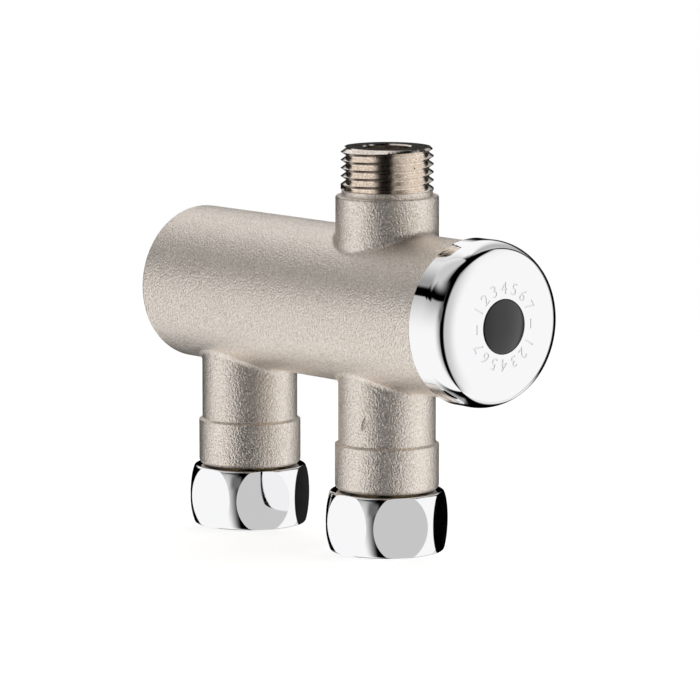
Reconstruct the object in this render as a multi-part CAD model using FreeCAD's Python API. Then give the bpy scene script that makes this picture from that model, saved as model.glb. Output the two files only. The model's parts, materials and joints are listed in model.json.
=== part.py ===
import FreeCAD
import Part
import math
import os

# Mixing valve for a hot and a cold supply. Lengths are in millimetres and angles in degrees.
# The barrel lies along Y with the knob at its -Y end, and Z is up. The origin is the mouth of the
# cold union nut, straight below the outlet; the hot inlet is further back.

V = FreeCAD.Vector
along_y = V(0, 1, 0)
up = V(0, 0, 1)

# Fits and gaps
running_fit = 0.05
thread_fit = 0.05
seal_gap = 0.06
free_gap = 0.3
seat_gap = 0.1
join = 0.2
past = 1.0
edge_round = 0.3
groove_share = 1.3
coil_bite = 0.3

# Union nuts
nut_height = 13.7
nut_flats = 25.2
nut_corner_cut = 0.45
nut_end_margin = 0.3
nut_thread_r = 10.6
nut_thread_length = 6.8
nut_relief = 0.3
nut_shoulder = 2.8
cold_nut_turn = 33.0
hot_nut_turn = 34.0

# Casting, outside
barrel_r = 17.75
barrel_front = -28.0
barrel_rear = 66.6
rear_edge_round = 0.9
front_edge_bevel = 0.3
casting_fillet = 1.8
inlet_spacing = 48.5
neck_r = 11.05
neck_length = 12.4
collar_r = 11.8
collar_height = 10.85
collar_round = 1.2
collar_bevel = 0.5
outlet_boss_r = 11.67
outlet_shoulder_height = 25.9
outlet_shoulder_round = 0.6
outlet_land = 1.2
outlet_land_step = 0.2
outlet_thread_r = 10.4775
outlet_thread_length = 9.7
outlet_rim_chamfer = 0.7
outlet_bore_r = 5.5
outlet_bore_chamfer = 0.3

# Casting, inside. The rooms follow each other from the front: seal bore, mixed, cold, hot
chamber_r = 13.3
bonnet_thread_step = 0.7
mixed_step = 0.7
land_step = 1.15
middle_land = 3.0
mixed_room = 9.1
seal_bore = 4.9
cold_room = 9.5
rear_land = 4.5
rear_wall = 4.0
hot_room_bevel = 2.0
outlet_floor = 2.2
passage_r = 5.8

# Cartridge sleeve
sleeve_flange = 1.4
sleeve_flange_gap = 0.1
sleeve_fit = 0.15
sleeve_waist = 0.9
sleeve_front_wall = 2.8
sleeve_rear_wall = 2.95
sleeve_land_margin = 0.7
cold_seat_offset = 1.5
cold_seat_thickness = 1.2
cold_seat_step = 0.95
window_count = 6
window_width = 6.4
window_corner = 1.0
window_margin = 1.1
cold_window_margin = 0.2
hot_window_margin = 0.4
hot_window_rear_margin = 0.3
hot_seat_thickness = 3.3
hot_seat_boss_height = 0.8
hot_seat_slot_width = 1.6
hot_seat_slot_depth = 1.5
sleeve_ring_section = 1.74

# Shuttle, wax element and return spring
cold_gap = 0.85
hot_gap = 1.65
shuttle_wall = 1.6
shuttle_tail = 3.55
shuttle_web = 2.2
shuttle_hole_count = 8
shuttle_hole_r = 0.9
shuttle_hole_wall = 0.1
shuttle_ring_section = 1.1
bulb_room = 2.9
bulb_round = 1.0
bulb_past_web = 0.3
element_flange_r = 6.5
element_flange = 1.5
guide_r = 3.2
guide_length = 4.5
piston_r = 1.5
piston_show = 2.4
piston_depth = 2.2
return_wire = 0.9
return_turns = 4.0

# Bonnet and spindle
bonnet_flange_margin = 1.3
bonnet_flange = 2.2
bonnet_hex_flats = 24.0
bonnet_hex = 2.6
bonnet_hex_turn = 30.0
bonnet_nose_gap = 0.1
bonnet_thread_runout = 0.2
bonnet_ring_section = 1.74
bonnet_ring_wall = 2.0
bonnet_recess_r = 8.5
bonnet_recess_floor = 2.5
keyway_depth = 1.2
key_width = 2.8
key_side_gap = 0.2
spindle_r = 4.95
spindle_collar_step = 2.05
spindle_collar = 1.5
spindle_thread_step = 1.0
spindle_tip_gap = 0.15
spindle_ring_section = 1.24
serration_teeth = 16
serration_depth = 0.5
serration_step = 0.95
circlip = 0.7
circlip_depth = 0.75
circlip_wall = 1.35
circlip_opening = 40.0

# Regulating nut and overload pieces
regulator_travel = 0.75
regulator_head = 4.2
regulator_head_margin = 1.2
regulator_side_gap = 0.25
regulator_thread = 4.4
regulator_tail_gap = 1.2
regulator_tail_wall = 2.0
regulator_tail_end = 1.1
overload_wire = 1.3
overload_turns = 3.0
overload_room_gap = 0.3
overload_cap = 0.9
overload_cap_boss = 1.0
snap_ring = 0.6
snap_ring_groove = 0.8
snap_ring_depth = 0.5
snap_ring_wall = 1.4
snap_ring_opening = 50.0

# Knob
knob_overhang = 1.0
knob_length = 10.85
knob_face_curve = 232.0
knob_face_slope = 3.3
knob_shoulder_round = 7.5
knob_shoulder_slope = 29.0
knob_edge_round = 2.2
knob_edge_slope = 57.0
knob_rim_round = 0.4
knob_wall = 2.0
knob_face = 3.7
hub_r = 6.5
hub_short = 0.5
plug_r = 6.1
plug_recess = 1.6
plug_side_gap = 0.05
plug_sink = 0.1
plug_crown = 0.45
plug_rim_round = 0.35
plug_hollow_r = 4.6
plug_hollow = 0.8
screw_r = 2.0
screw_head_r = 3.5
screw_head = 2.1
screw_head_gap = 0.1
screw_length = 8.0
screw_socket_flats = 3.0
screw_socket = 1.2
knob_web = 1.7
stop_lug_inner_r = 10.0
stop_lug_outer_r = 12.0
stop_lug_angle = 28.0

# Inlets: tail piece, gasket and strainer
tail_r = 8.0
tail_bore_r = 6.0
tail_flange_r = 9.25
tail_flange = 2.0
tail_thread = 9.0
tail_socket_flats = 12.4
tail_socket = 4.4
tail_hole_gap = 0.4
tail_ring_section = 1.06
tail_ring_offset = 1.8
gasket_r = 9.2
gasket_bore_r = 6.2
gasket = 1.7
strainer = 0.4
strainer_r = 7.5
strainer_pitch = 2.3
strainer_hole_r = 0.8
strainer_rings = 2

# Inlets: check valves
check_bore_r = 7.5
check_length = 13.0
check_wall = 1.4
check_rib = 0.05
check_rib_width = 0.8
check_rib_low = 2.0
check_rib_high = 9.0
check_seat = 1.8
check_seat_r = 4.3
check_spider = 1.6
check_spider_drop = 1.8
check_arm_width = 1.6
check_arm_count = 3
check_arm_turn = 90.0
check_hub_r = 3.3
poppet_r = 4.95
poppet_disc = 1.2
poppet_stem_r = 1.2
poppet_stem_fit = 0.08
poppet_stem_past_hub = 1.2
poppet_neck_r = 1.9
poppet_lip_r = 2.5
poppet_lip = 0.65
poppet_lip_slope = 0.5
poppet_seal = 0.9
check_wire = 0.6
check_spring_r = 2.6
check_turns = 3.5

# Levels above the mouths of the union nuts
collar_bottom = nut_height + free_gap
collar_top = collar_bottom + collar_height
barrel_z = collar_top + neck_length + barrel_r
outlet_shoulder = barrel_z + outlet_shoulder_height
outlet_thread_start = outlet_shoulder + outlet_land
outlet_top = outlet_thread_start + outlet_thread_length
flange_top = nut_height - nut_shoulder - free_gap
flange_bottom = flange_top - tail_flange
gasket_bottom = flange_bottom - gasket
tail_bore_top = collar_bottom + tail_thread
tail_top = tail_bore_top - seat_gap
check_bottom = tail_top + seat_gap
check_top = check_bottom + check_length
check_bore_top = check_top + free_gap
check_seat_top = check_bottom + check_seat
seal_bottom = check_seat_top + seat_gap
disc_bottom = seal_bottom + poppet_seal
disc_top = disc_bottom + poppet_disc
spider_top = check_top - check_spider_drop
spider_bottom = spider_top - check_spider

# Places along the barrel, counted from the outlet's axis
middle_half = middle_land / 2
mixed_front = -middle_half - mixed_room
seal_front = mixed_front - seal_bore
cold_end = middle_half + cold_room
rear_land_end = cold_end + rear_land
hot_end = barrel_rear - rear_wall
sleeve_front = mixed_front - sleeve_flange
cold_seat_front = middle_half + cold_seat_offset
cold_seat = cold_seat_front + cold_seat_thickness
shuttle_front = cold_seat + cold_gap
shuttle_rear = rear_land_end + shuttle_tail
hot_seat = shuttle_rear + hot_gap
sleeve_rear = hot_seat + hot_seat_thickness
web_middle = cold_end + rear_land / 2
web_front = web_middle - shuttle_web / 2
web_rear = web_middle + shuttle_web / 2
guide_front = -guide_length
cap_rear = guide_front - piston_show
cap_front = cap_rear - overload_cap
regulator_rear = cap_rear + regulator_tail_end
regulator_head_rear = sleeve_front - regulator_head_margin
regulator_front = regulator_head_rear - regulator_head
overload_front = regulator_front + regulator_thread
collar_rear = regulator_front - regulator_travel - free_gap
collar_front = collar_rear - spindle_collar
bonnet_room_front = collar_front - seat_gap
recess_floor = barrel_front + bonnet_recess_floor
bonnet_front = barrel_front - bonnet_flange
hex_front = bonnet_front - bonnet_hex
knob_rear = barrel_front - free_gap
knob_front = knob_rear - knob_length
knob_inside = knob_front + knob_face
plug_front = knob_front + plug_sink
plug_floor = knob_front + plug_recess
screw_seat = plug_floor + screw_head + screw_head_gap
knob_web_rear = screw_seat + knob_web
spindle_front = knob_web_rear + seat_gap
hub_rear = knob_rear - hub_short
spindle_tip = overload_front - regulator_travel - spindle_tip_gap

# Radii that follow from others
bonnet_bore_r = chamber_r + bonnet_thread_step
mixed_r = chamber_r - mixed_step
land_r = chamber_r - land_step
sleeve_r = land_r - sleeve_fit
sleeve_flange_r = chamber_r - sleeve_flange_gap
sleeve_waist_r = sleeve_r - sleeve_waist
sleeve_front_bore_r = sleeve_r - sleeve_front_wall
sleeve_bore_r = sleeve_r - sleeve_rear_wall
cold_seat_r = sleeve_bore_r - cold_seat_step
shuttle_r = sleeve_bore_r - running_fit
shuttle_bore_r = shuttle_r - shuttle_wall
bulb_r = shuttle_bore_r - bulb_room
return_coil_r = bulb_r + return_wire / 2 + seal_gap
nose_r = chamber_r - bonnet_nose_gap
bonnet_room_r = nose_r - bonnet_ring_section - bonnet_ring_wall + seal_gap
regulator_head_r = bonnet_room_r - regulator_side_gap
regulator_tail_r = sleeve_front_bore_r - regulator_tail_gap
spindle_thread_r = spindle_r - spindle_thread_step
overload_room_r = regulator_tail_r - regulator_tail_wall
overload_coil_r = overload_room_r - overload_room_gap - overload_wire / 2
knob_r = barrel_r + knob_overhang
knob_room_r = knob_r - knob_wall
serration_r = spindle_r - serration_step


def outline(corners):
    # Closed wire through (point, radius) corners, each rounded by a tangent arc where radius > 0
    edges = []
    last_end = None
    first_start = None
    count = len(corners)
    for i in range(count):
        point, radius = corners[i]
        start = point
        end = point
        arc = None
        if radius > 0:
            to_last = (corners[i - 1][0] - point).normalize()
            to_next = (corners[(i + 1) % count][0] - point).normalize()
            half = to_last.getAngle(to_next) / 2
            start = point + to_last * (radius / math.tan(half))
            end = point + to_next * (radius / math.tan(half))
            middle_way = (to_last + to_next).normalize()
            middle = point + middle_way * (radius / math.sin(half) - radius)
            arc = Part.Arc(start, middle, end).toShape()
        if last_end is None:
            first_start = start
        elif (start - last_end).Length > 1e-6:
            edges.append(Part.LineSegment(last_end, start).toShape())
        if arc is not None:
            edges.append(arc)
        last_end = end
    edges.append(Part.LineSegment(last_end, first_start).toShape())
    return Part.Wire(edges)


def outward(solid):
    if solid.Volume < 0:
        solid.reverse()
    return solid


def turned_y(points):
    # Turned on the barrel's axis from (y, radius) or (y, radius, corner radius) points
    corners = [(V(0, p[0], barrel_z + p[1]), p[2] if len(p) > 2 else 0) for p in points]
    face = Part.Face(outline(corners))
    return outward(face.revolve(V(0, 0, barrel_z), along_y, 360))


def turned_z(points, y):
    # Turned on an upright axis at y from (z, radius) or (z, radius, corner radius) points
    corners = [(V(p[1], y, p[0]), p[2] if len(p) > 2 else 0) for p in points]
    face = Part.Face(outline(corners))
    return outward(face.revolve(V(0, y, 0), up, 360))


def rod_y(y0, y1, r):
    return Part.makeCylinder(r, y1 - y0, V(0, y0, barrel_z), along_y)


def rod_z(z0, z1, r, y, x=0.0):
    return Part.makeCylinder(r, z1 - z0, V(x, y, z0), up)


def tube_y(y0, y1, r_out, r_in):
    return rod_y(y0, y1, r_out).cut(rod_y(y0, y1, r_in))


def tube_z(z0, z1, r_out, r_in, y):
    return rod_z(z0, z1, r_out, y).cut(rod_z(z0, z1, r_in, y))


def seal_ring_y(y, bore_r, section):
    # Ring that seals outwards on a bore of bore_r
    return Part.makeTorus(bore_r - seal_gap - section / 2, section / 2, V(0, y, barrel_z), along_y)


def groove_bottom(bore_r, section):
    return bore_r - 2 * seal_gap - section


def groove_y(y, bore_r, section):
    # Groove for such a ring, cut into the piece that carries it
    half = section * groove_share / 2
    return tube_y(y - half, y + half, bore_r + past, groove_bottom(bore_r, section))


def hexagon(flats, length, base, way, turn):
    corner_r = flats / math.sqrt(3)
    corners = []
    for k in range(6):
        a = math.radians(60 * k + turn)
        corners.append(V(corner_r * math.cos(a), corner_r * math.sin(a), 0))
    prism = Part.Face(Part.makePolygon(corners + corners[:1])).extrude(V(0, 0, length))
    prism.Placement = FreeCAD.Placement(base, FreeCAD.Rotation(up, way))
    return prism


def sector_y(y0, y1, r0, r1, middle, width):
    # Part of a ring about the barrel's axis; angles are counted from the top towards +X
    corners = [V(0, y0, barrel_z + r0), V(0, y1, barrel_z + r0)]
    corners += [V(0, y1, barrel_z + r1), V(0, y0, barrel_z + r1)]
    face = Part.Face(Part.makePolygon(corners + corners[:1]))
    solid = outward(face.revolve(V(0, 0, barrel_z), along_y, width))
    solid.rotate(V(0, 0, barrel_z), along_y, middle - width / 2)
    return solid


def windows_y(y0, y1, r_in, r_out):
    # Round-cornered windows through a sleeve's wall, spread evenly about the barrel's axis
    half = window_width / 2
    ends = [(-half, y0), (half, y0), (half, y1), (-half, y1)]
    corners = [(V(x, y, barrel_z + r_in), window_corner) for x, y in ends]
    cutter = Part.Face(outline(corners)).extrude(V(0, 0, r_out - r_in))
    cutters = []
    for k in range(window_count):
        one = outward(cutter.copy())
        one.rotate(V(0, 0, barrel_z), along_y, 360.0 * k / window_count)
        cutters.append(one)
    return cutters


def serrations_y(y0, y1, tip_r):
    corners = []
    for k in range(2 * serration_teeth):
        r = tip_r - serration_depth * (k % 2)
        a = math.pi * k / serration_teeth
        corners.append(V(r * math.cos(a), y0, barrel_z + r * math.sin(a)))
    face = Part.Face(Part.makePolygon(corners + corners[:1]))
    return outward(face.extrude(V(0, y1 - y0, 0)))


def coil(coil_r, wire, length, turns, base, way):
    # Helical spring standing on its base, with both ends ground flat
    bite = wire * coil_bite
    height = length - wire + 2 * bite
    path = Part.makeHelix(height / turns, height, coil_r)
    section = Part.Wire(Part.makeCircle(wire / 2, V(coil_r, 0, 0), along_y))
    spring = Part.Wire(path.Edges).makePipeShell([section], True, True)
    spring = outward(Part.Solid(spring))
    spring.translate(V(0, 0, wire / 2 - bite))
    spring = spring.common(Part.makeCylinder(coil_r + wire, length))
    spring.Placement = FreeCAD.Placement(base, FreeCAD.Rotation(up, way)).multiply(spring.Placement)
    return spring


def inlet_boss(y):
    # Neck and collar of one inlet, long enough to end inside the barrel
    return turned_z([
        (collar_bottom, 0),
        (collar_bottom, collar_r, collar_round),
        (collar_top - collar_bevel, collar_r),
        (collar_top, neck_r),
        (barrel_z, neck_r),
        (barrel_z, 0),
    ], y)


def outlet_boss():
    land_edge_r = outlet_thread_r - outlet_land_step
    return turned_z([
        (barrel_z, 0),
        (barrel_z, outlet_boss_r),
        (outlet_shoulder, outlet_boss_r, outlet_shoulder_round),
        (outlet_shoulder, land_edge_r),
        (outlet_thread_start, land_edge_r),
        (outlet_thread_start, outlet_thread_r),
        (outlet_top - outlet_rim_chamfer, outlet_thread_r),
        (outlet_top, outlet_thread_r - outlet_rim_chamfer),
        (outlet_top, 0),
    ], 0)


def barrel_rooms():
    # All that is bored or cored along the barrel
    return turned_y([
        (barrel_front, 0),
        (barrel_front, bonnet_bore_r),
        (seal_front, bonnet_bore_r),
        (seal_front, chamber_r),
        (mixed_front, chamber_r),
        (mixed_front, mixed_r),
        (-middle_half, mixed_r),
        (-middle_half, land_r),
        (middle_half, land_r),
        (middle_half, chamber_r),
        (cold_end, chamber_r),
        (cold_end, land_r),
        (rear_land_end, land_r),
        (rear_land_end, chamber_r),
        (hot_end - hot_room_bevel, chamber_r),
        (hot_end, chamber_r - hot_room_bevel),
        (hot_end, 0),
    ])


def outlet_way():
    # Straight bore from the rim, then a cored half-round way down in front of the middle land
    floor = barrel_z + chamber_r + outlet_floor
    bore = turned_z([
        (floor, 0),
        (floor, outlet_bore_r),
        (outlet_top - outlet_bore_chamfer, outlet_bore_r),
        (outlet_top, outlet_bore_r + outlet_bore_chamfer),
        (outlet_top, 0),
    ], 0)
    way = rod_z(barrel_z, floor, outlet_bore_r, 0)
    corner = V(-outlet_bore_r, -outlet_bore_r, barrel_z)
    keep = Part.makeBox(2 * outlet_bore_r, outlet_bore_r - middle_half, floor - barrel_z, corner)
    return [bore, way.common(keep)]


def inlet_way(y, behind_land):
    # Threaded mouth, check valve bore and the cored way up into the barrel
    mouth = rod_z(collar_bottom, tail_bore_top, tail_r + thread_fit, y)
    bore = rod_z(tail_bore_top, check_bore_top, check_bore_r, y)
    way = rod_z(check_bore_top, barrel_z, passage_r, y)
    if behind_land:
        corner = V(-passage_r, middle_half, check_bore_top)
        height = barrel_z - check_bore_top
        way = way.common(Part.makeBox(2 * passage_r, passage_r - middle_half, height, corner))
    return [mouth, bore, way]


def valve_body():
    barrel = turned_y([
        (barrel_front, 0),
        (barrel_front, barrel_r - front_edge_bevel),
        (barrel_front + front_edge_bevel, barrel_r),
        (barrel_rear, barrel_r, rear_edge_round),
        (barrel_rear, 0),
    ])
    casting = barrel.fuse([outlet_boss(), inlet_boss(0), inlet_boss(inlet_spacing)]).removeSplitter()
    joins = [e for e in casting.Edges if e.Curve.TypeId == "Part::GeomBSplineCurve"]
    casting = casting.makeFillet(casting_fillet, joins)
    cuts = [barrel_rooms()] + outlet_way() + inlet_way(0, True) + inlet_way(inlet_spacing, False)
    return casting.cut(cuts)


def knob_crown():
    # Corners of the shallow face, the shoulder, the edge and the swelling side. Each arc runs
    # tangent into the next, and the last one ends straight back at knob_r
    arcs = [
        (knob_face_slope, knob_face_curve),
        (knob_shoulder_slope, knob_shoulder_round),
        (knob_edge_slope, knob_edge_round),
        (90.0, None),
    ]
    corners = []
    y, r, last = knob_front, 0, 0
    for slope, radius in arcs:
        a = math.radians(slope)
        if radius is None:
            radius = (knob_r - r) / (math.sin(a) - math.sin(last))
        reach = radius * math.tan((a - last) / 2)
        corners.append((y + reach * math.sin(last), r + reach * math.cos(last), radius))
        y += radius * (math.cos(last) - math.cos(a))
        r += radius * (math.sin(a) - math.sin(last))
        last = a
    return corners


def control_knob():
    cup = turned_y([(knob_front, 0)] + knob_crown() + [
        (knob_rear, knob_r, knob_rim_round),
        (knob_rear, knob_room_r),
        (knob_inside, knob_room_r),
        (knob_inside, hub_r),
        (hub_rear, hub_r),
        (hub_rear, 0),
    ])
    lug_rear = hex_front - free_gap
    lug = sector_y(knob_inside - join, lug_rear, stop_lug_inner_r, stop_lug_outer_r, 0, stop_lug_angle)
    cup = cup.fuse(lug)
    cuts = [
        rod_y(knob_front, plug_floor, plug_r + plug_side_gap),
        rod_y(plug_floor, screw_seat, screw_head_r + screw_head_gap),
        rod_y(screw_seat, knob_web_rear, screw_r + screw_head_gap),
        serrations_y(knob_web_rear, hub_rear, serration_r + running_fit),
    ]
    return cup.cut(cuts)


def knob_plug():
    rim = plug_front - plug_rim_round
    crown = plug_crown - plug_rim_round
    top = plug_front - plug_crown
    sphere_r = (plug_r * plug_r + crown * crown) / (2 * crown)
    disc = turned_y([
        (top, 0),
        (top, plug_r, plug_rim_round),
        (plug_floor, plug_r),
        (plug_floor, 0),
    ])
    dome = Part.makeSphere(sphere_r, V(0, top + sphere_r, barrel_z))
    skirt = rod_y(rim - crown, plug_floor, plug_r)
    hollow = rod_y(plug_floor - plug_hollow, plug_floor, plug_hollow_r)
    return disc.common(dome.common(skirt)).cut(hollow)


def knob_screw():
    head_front = screw_seat - screw_head
    head = rod_y(head_front, screw_seat, screw_head_r)
    shank = rod_y(screw_seat, screw_seat + screw_length, screw_r)
    socket = hexagon(screw_socket_flats, screw_socket, V(0, head_front, barrel_z), along_y, 0)
    return head.fuse(shank).cut(socket)


def adjusting_spindle():
    shaft = turned_y([
        (hub_rear + seat_gap, 0),
        (hub_rear + seat_gap, spindle_r),
        (collar_front, spindle_r),
        (collar_front, spindle_r + spindle_collar_step),
        (collar_rear, spindle_r + spindle_collar_step),
        (collar_rear, spindle_thread_r),
        (spindle_tip, spindle_thread_r, edge_round),
        (spindle_tip, 0),
    ])
    shaft = shaft.fuse(serrations_y(spindle_front, hub_rear + seat_gap, serration_r))
    clip_rear = recess_floor - seat_gap
    cuts = [
        rod_y(spindle_front, screw_seat + screw_length + past, screw_r + thread_fit),
        groove_y((recess_floor + bonnet_room_front) / 2, spindle_r + running_fit, spindle_ring_section),
        tube_y(clip_rear - circlip, clip_rear, spindle_r + past, spindle_r - circlip_depth),
    ]
    return shaft.cut(cuts)


def spindle_oring():
    middle = (recess_floor + bonnet_room_front) / 2
    return seal_ring_y(middle, spindle_r + running_fit, spindle_ring_section)


def spindle_circlip():
    rear = recess_floor - seat_gap
    front = rear - circlip
    outer_r = spindle_r + circlip_wall
    ring = tube_y(front, rear, outer_r, spindle_r - circlip_depth)
    gap = sector_y(front - past, rear + past, spindle_r / 2, outer_r + past, 180, circlip_opening)
    return ring.cut(gap)


def bonnet():
    thread_r = bonnet_bore_r - thread_fit
    thread_end = seal_front - bonnet_thread_runout
    flange_r = knob_room_r - bonnet_flange_margin
    head = turned_y([
        (bonnet_front, 0),
        (bonnet_front, flange_r),
        (barrel_front, flange_r),
        (barrel_front, thread_r),
        (thread_end, thread_r),
        (thread_end, nose_r),
        (sleeve_front, nose_r),
        (sleeve_front, 0),
    ])
    base = V(0, hex_front, barrel_z)
    hexagon_part = hexagon(bonnet_hex_flats, bonnet_hex, base, along_y, bonnet_hex_turn)
    lug_front = knob_inside + free_gap
    lug = sector_y(lug_front, hex_front + join, stop_lug_inner_r, stop_lug_outer_r, 180, stop_lug_angle)
    head = head.fuse([hexagon_part, lug])
    cuts = [
        rod_y(hex_front, recess_floor, bonnet_recess_r),
        rod_y(recess_floor, bonnet_room_front, spindle_r + running_fit),
        rod_y(bonnet_room_front, sleeve_front, bonnet_room_r),
        groove_y((seal_front + sleeve_front) / 2, chamber_r, bonnet_ring_section),
    ]
    keyway_width = key_width + 2 * key_side_gap
    keyway_r = bonnet_room_r + keyway_depth
    room_length = sleeve_front - bonnet_room_front
    corner = V(-keyway_r, bonnet_room_front, barrel_z - keyway_width / 2)
    keyway = Part.makeBox(2 * keyway_r, room_length, keyway_width, corner)
    return head.cut(cuts + [keyway])


def bonnet_oring():
    return seal_ring_y((seal_front + sleeve_front) / 2, chamber_r, bonnet_ring_section)


def regulating_nut():
    body = turned_y([
        (regulator_front, 0),
        (regulator_front, regulator_head_r, edge_round),
        (regulator_head_rear, regulator_head_r),
        (regulator_head_rear, regulator_tail_r),
        (regulator_rear, regulator_tail_r, edge_round),
        (regulator_rear, 0),
    ])
    key_r = bonnet_room_r + keyway_depth - free_gap
    corner = V(-key_r, regulator_front, barrel_z - key_width / 2)
    keys = Part.makeBox(2 * key_r, regulator_head, key_width, corner)
    groove_rear = cap_rear + snap_ring_groove
    cuts = [
        rod_y(regulator_front, overload_front, spindle_thread_r + thread_fit),
        rod_y(overload_front, regulator_rear, overload_room_r),
        rod_y(cap_rear, groove_rear, overload_room_r + snap_ring_depth),
    ]
    return body.fuse(keys).cut(cuts)


def overload_spring():
    base = V(0, overload_front, barrel_z)
    return coil(overload_coil_r, overload_wire, cap_front - overload_front, overload_turns, base, along_y)


def overload_cap_disc():
    boss_r = overload_coil_r - overload_wire / 2 - overload_room_gap
    return turned_y([
        (cap_front - overload_cap_boss, 0),
        (cap_front - overload_cap_boss, boss_r, edge_round),
        (cap_front, boss_r),
        (cap_front, overload_room_r - seat_gap),
        (cap_rear, overload_room_r - seat_gap),
        (cap_rear, 0),
    ])


def cap_snap_ring():
    front = cap_rear + seal_gap
    outer_r = overload_room_r + snap_ring_depth - seal_gap
    ring = tube_y(front, front + snap_ring, outer_r, outer_r - snap_ring_wall)
    gap = sector_y(front - past, front + snap_ring + past, outer_r / 2, outer_r + past, 0, snap_ring_opening)
    return ring.cut(gap)


def element_piston():
    return turned_y([
        (cap_rear, 0),
        (cap_rear, piston_r),
        (guide_front + piston_depth, piston_r, edge_round),
        (guide_front + piston_depth, 0),
    ])


def wax_element():
    body = turned_y([
        (guide_front, 0),
        (guide_front, guide_r, edge_round),
        (0, guide_r),
        (0, element_flange_r, edge_round),
        (element_flange, element_flange_r, edge_round),
        (element_flange, bulb_r),
        (web_rear + bulb_past_web, bulb_r, bulb_round),
        (web_rear + bulb_past_web, 0),
    ])
    depth = piston_depth + free_gap
    return body.cut(rod_y(guide_front, guide_front + depth, piston_r + poppet_stem_fit))


def shuttle():
    slide = tube_y(shuttle_front, shuttle_rear, shuttle_r, shuttle_bore_r)
    web = tube_y(web_front, web_rear, shuttle_bore_r + join, bulb_r + running_fit)
    holes = []
    hole_circle = shuttle_bore_r - shuttle_hole_r - shuttle_hole_wall
    for k in range(shuttle_hole_count):
        a = 2 * math.pi * k / shuttle_hole_count
        x = hole_circle * math.cos(a)
        z = barrel_z + hole_circle * math.sin(a)
        holes.append(Part.makeCylinder(shuttle_hole_r, shuttle_web, V(x, web_front, z), along_y))
    return slide.fuse(web).cut(holes + [groove_y(web_middle, sleeve_bore_r, shuttle_ring_section)])


def shuttle_oring():
    return seal_ring_y(web_middle, sleeve_bore_r, shuttle_ring_section)


def return_spring():
    base = V(0, web_rear, barrel_z)
    return coil(return_coil_r, return_wire, hot_seat - web_rear, return_turns, base, along_y)


def hot_seat_plug():
    disc = rod_y(hot_seat, sleeve_rear, sleeve_bore_r - thread_fit)
    boss = rod_y(hot_seat - hot_seat_boss_height, hot_seat, bulb_r - seal_gap)
    corner = V(-sleeve_bore_r, sleeve_rear - hot_seat_slot_depth, barrel_z - hot_seat_slot_width / 2)
    slot = Part.makeBox(2 * sleeve_bore_r, hot_seat_slot_depth, hot_seat_slot_width, corner)
    return disc.fuse(boss).cut(slot)


def cartridge_sleeve():
    front_land = middle_half + sleeve_land_margin
    rear_land_front = cold_end - sleeve_land_margin
    rear_land_rear = rear_land_end + sleeve_land_margin
    sleeve = turned_y([
        (sleeve_front, sleeve_front_bore_r),
        (sleeve_front, sleeve_flange_r),
        (mixed_front, sleeve_flange_r),
        (mixed_front, sleeve_waist_r),
        (-front_land, sleeve_waist_r),
        (-front_land, sleeve_r),
        (front_land, sleeve_r),
        (front_land, sleeve_waist_r),
        (rear_land_front, sleeve_waist_r),
        (rear_land_front, sleeve_r),
        (rear_land_rear, sleeve_r),
        (rear_land_rear, sleeve_waist_r),
        (sleeve_rear, sleeve_waist_r),
        (sleeve_rear, sleeve_bore_r),
        (cold_seat, sleeve_bore_r),
        (cold_seat, cold_seat_r),
        (cold_seat_front, cold_seat_r),
        (cold_seat_front, sleeve_front_bore_r),
    ])
    start_r = cold_seat_r - past
    end_r = sleeve_r + past
    cuts = windows_y(mixed_front + window_margin, -front_land - window_margin, start_r, end_r)
    cuts += windows_y(cold_seat + cold_window_margin, rear_land_front - window_margin, start_r, end_r)
    window_front = rear_land_rear + hot_window_margin
    cuts += windows_y(window_front, hot_seat - hot_window_rear_margin, start_r, end_r)
    cuts.append(groove_y(0, land_r, sleeve_ring_section))
    cuts.append(groove_y(web_middle, land_r, sleeve_ring_section))
    return sleeve.cut(cuts)


def sleeve_oring(y):
    return seal_ring_y(y, land_r, sleeve_ring_section)


def union_nut(y, turn):
    # Hexagon whose corners are turned to a barrel form, widest at half height
    blank = hexagon(nut_flats, nut_height, V(0, y, 0), up, turn)
    middle_r = nut_flats / math.sqrt(3) - nut_corner_cut
    end_r = nut_flats / 2 + nut_end_margin
    side = Part.Arc(V(end_r, y, 0), V(middle_r, y, nut_height / 2), V(end_r, y, nut_height)).toShape()
    rest = Part.makePolygon([V(end_r, y, nut_height), V(0, y, nut_height), V(0, y, 0), V(end_r, y, 0)])
    form = outward(Part.Face(Part.Wire([side] + rest.Edges)).revolve(V(0, y, 0), up, 360))
    relief_top = nut_height - nut_shoulder
    bore = turned_z([
        (0, 0),
        (0, nut_thread_r),
        (nut_thread_length, nut_thread_r),
        (nut_thread_length, nut_thread_r + nut_relief),
        (relief_top, nut_thread_r + nut_relief),
        (relief_top, tail_r + tail_hole_gap),
        (nut_height, tail_r + tail_hole_gap),
        (nut_height, 0),
    ], y)
    return blank.common(form).cut(bore)


def tail_piece(y):
    tail = turned_z([
        (flange_bottom, 0),
        (flange_bottom, tail_flange_r, edge_round),
        (flange_top, tail_flange_r, edge_round),
        (flange_top, tail_r),
        (tail_top, tail_r, edge_round),
        (tail_top, 0),
    ], y)
    bore_r = tail_r + thread_fit
    ring_z = tail_top - tail_ring_offset
    half = tail_ring_section * groove_share / 2
    groove_r = groove_bottom(bore_r, tail_ring_section)
    groove = tube_z(ring_z - half, ring_z + half, bore_r + past, groove_r, y)
    socket = hexagon(tail_socket_flats, tail_socket, V(0, y, flange_bottom), up, 0)
    return tail.cut([rod_z(flange_bottom, tail_top, tail_bore_r, y), socket, groove])


def tail_oring(y):
    ring_r = tail_r + thread_fit - seal_gap - tail_ring_section / 2
    return Part.makeTorus(ring_r, tail_ring_section / 2, V(0, y, tail_top - tail_ring_offset), up)


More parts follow.
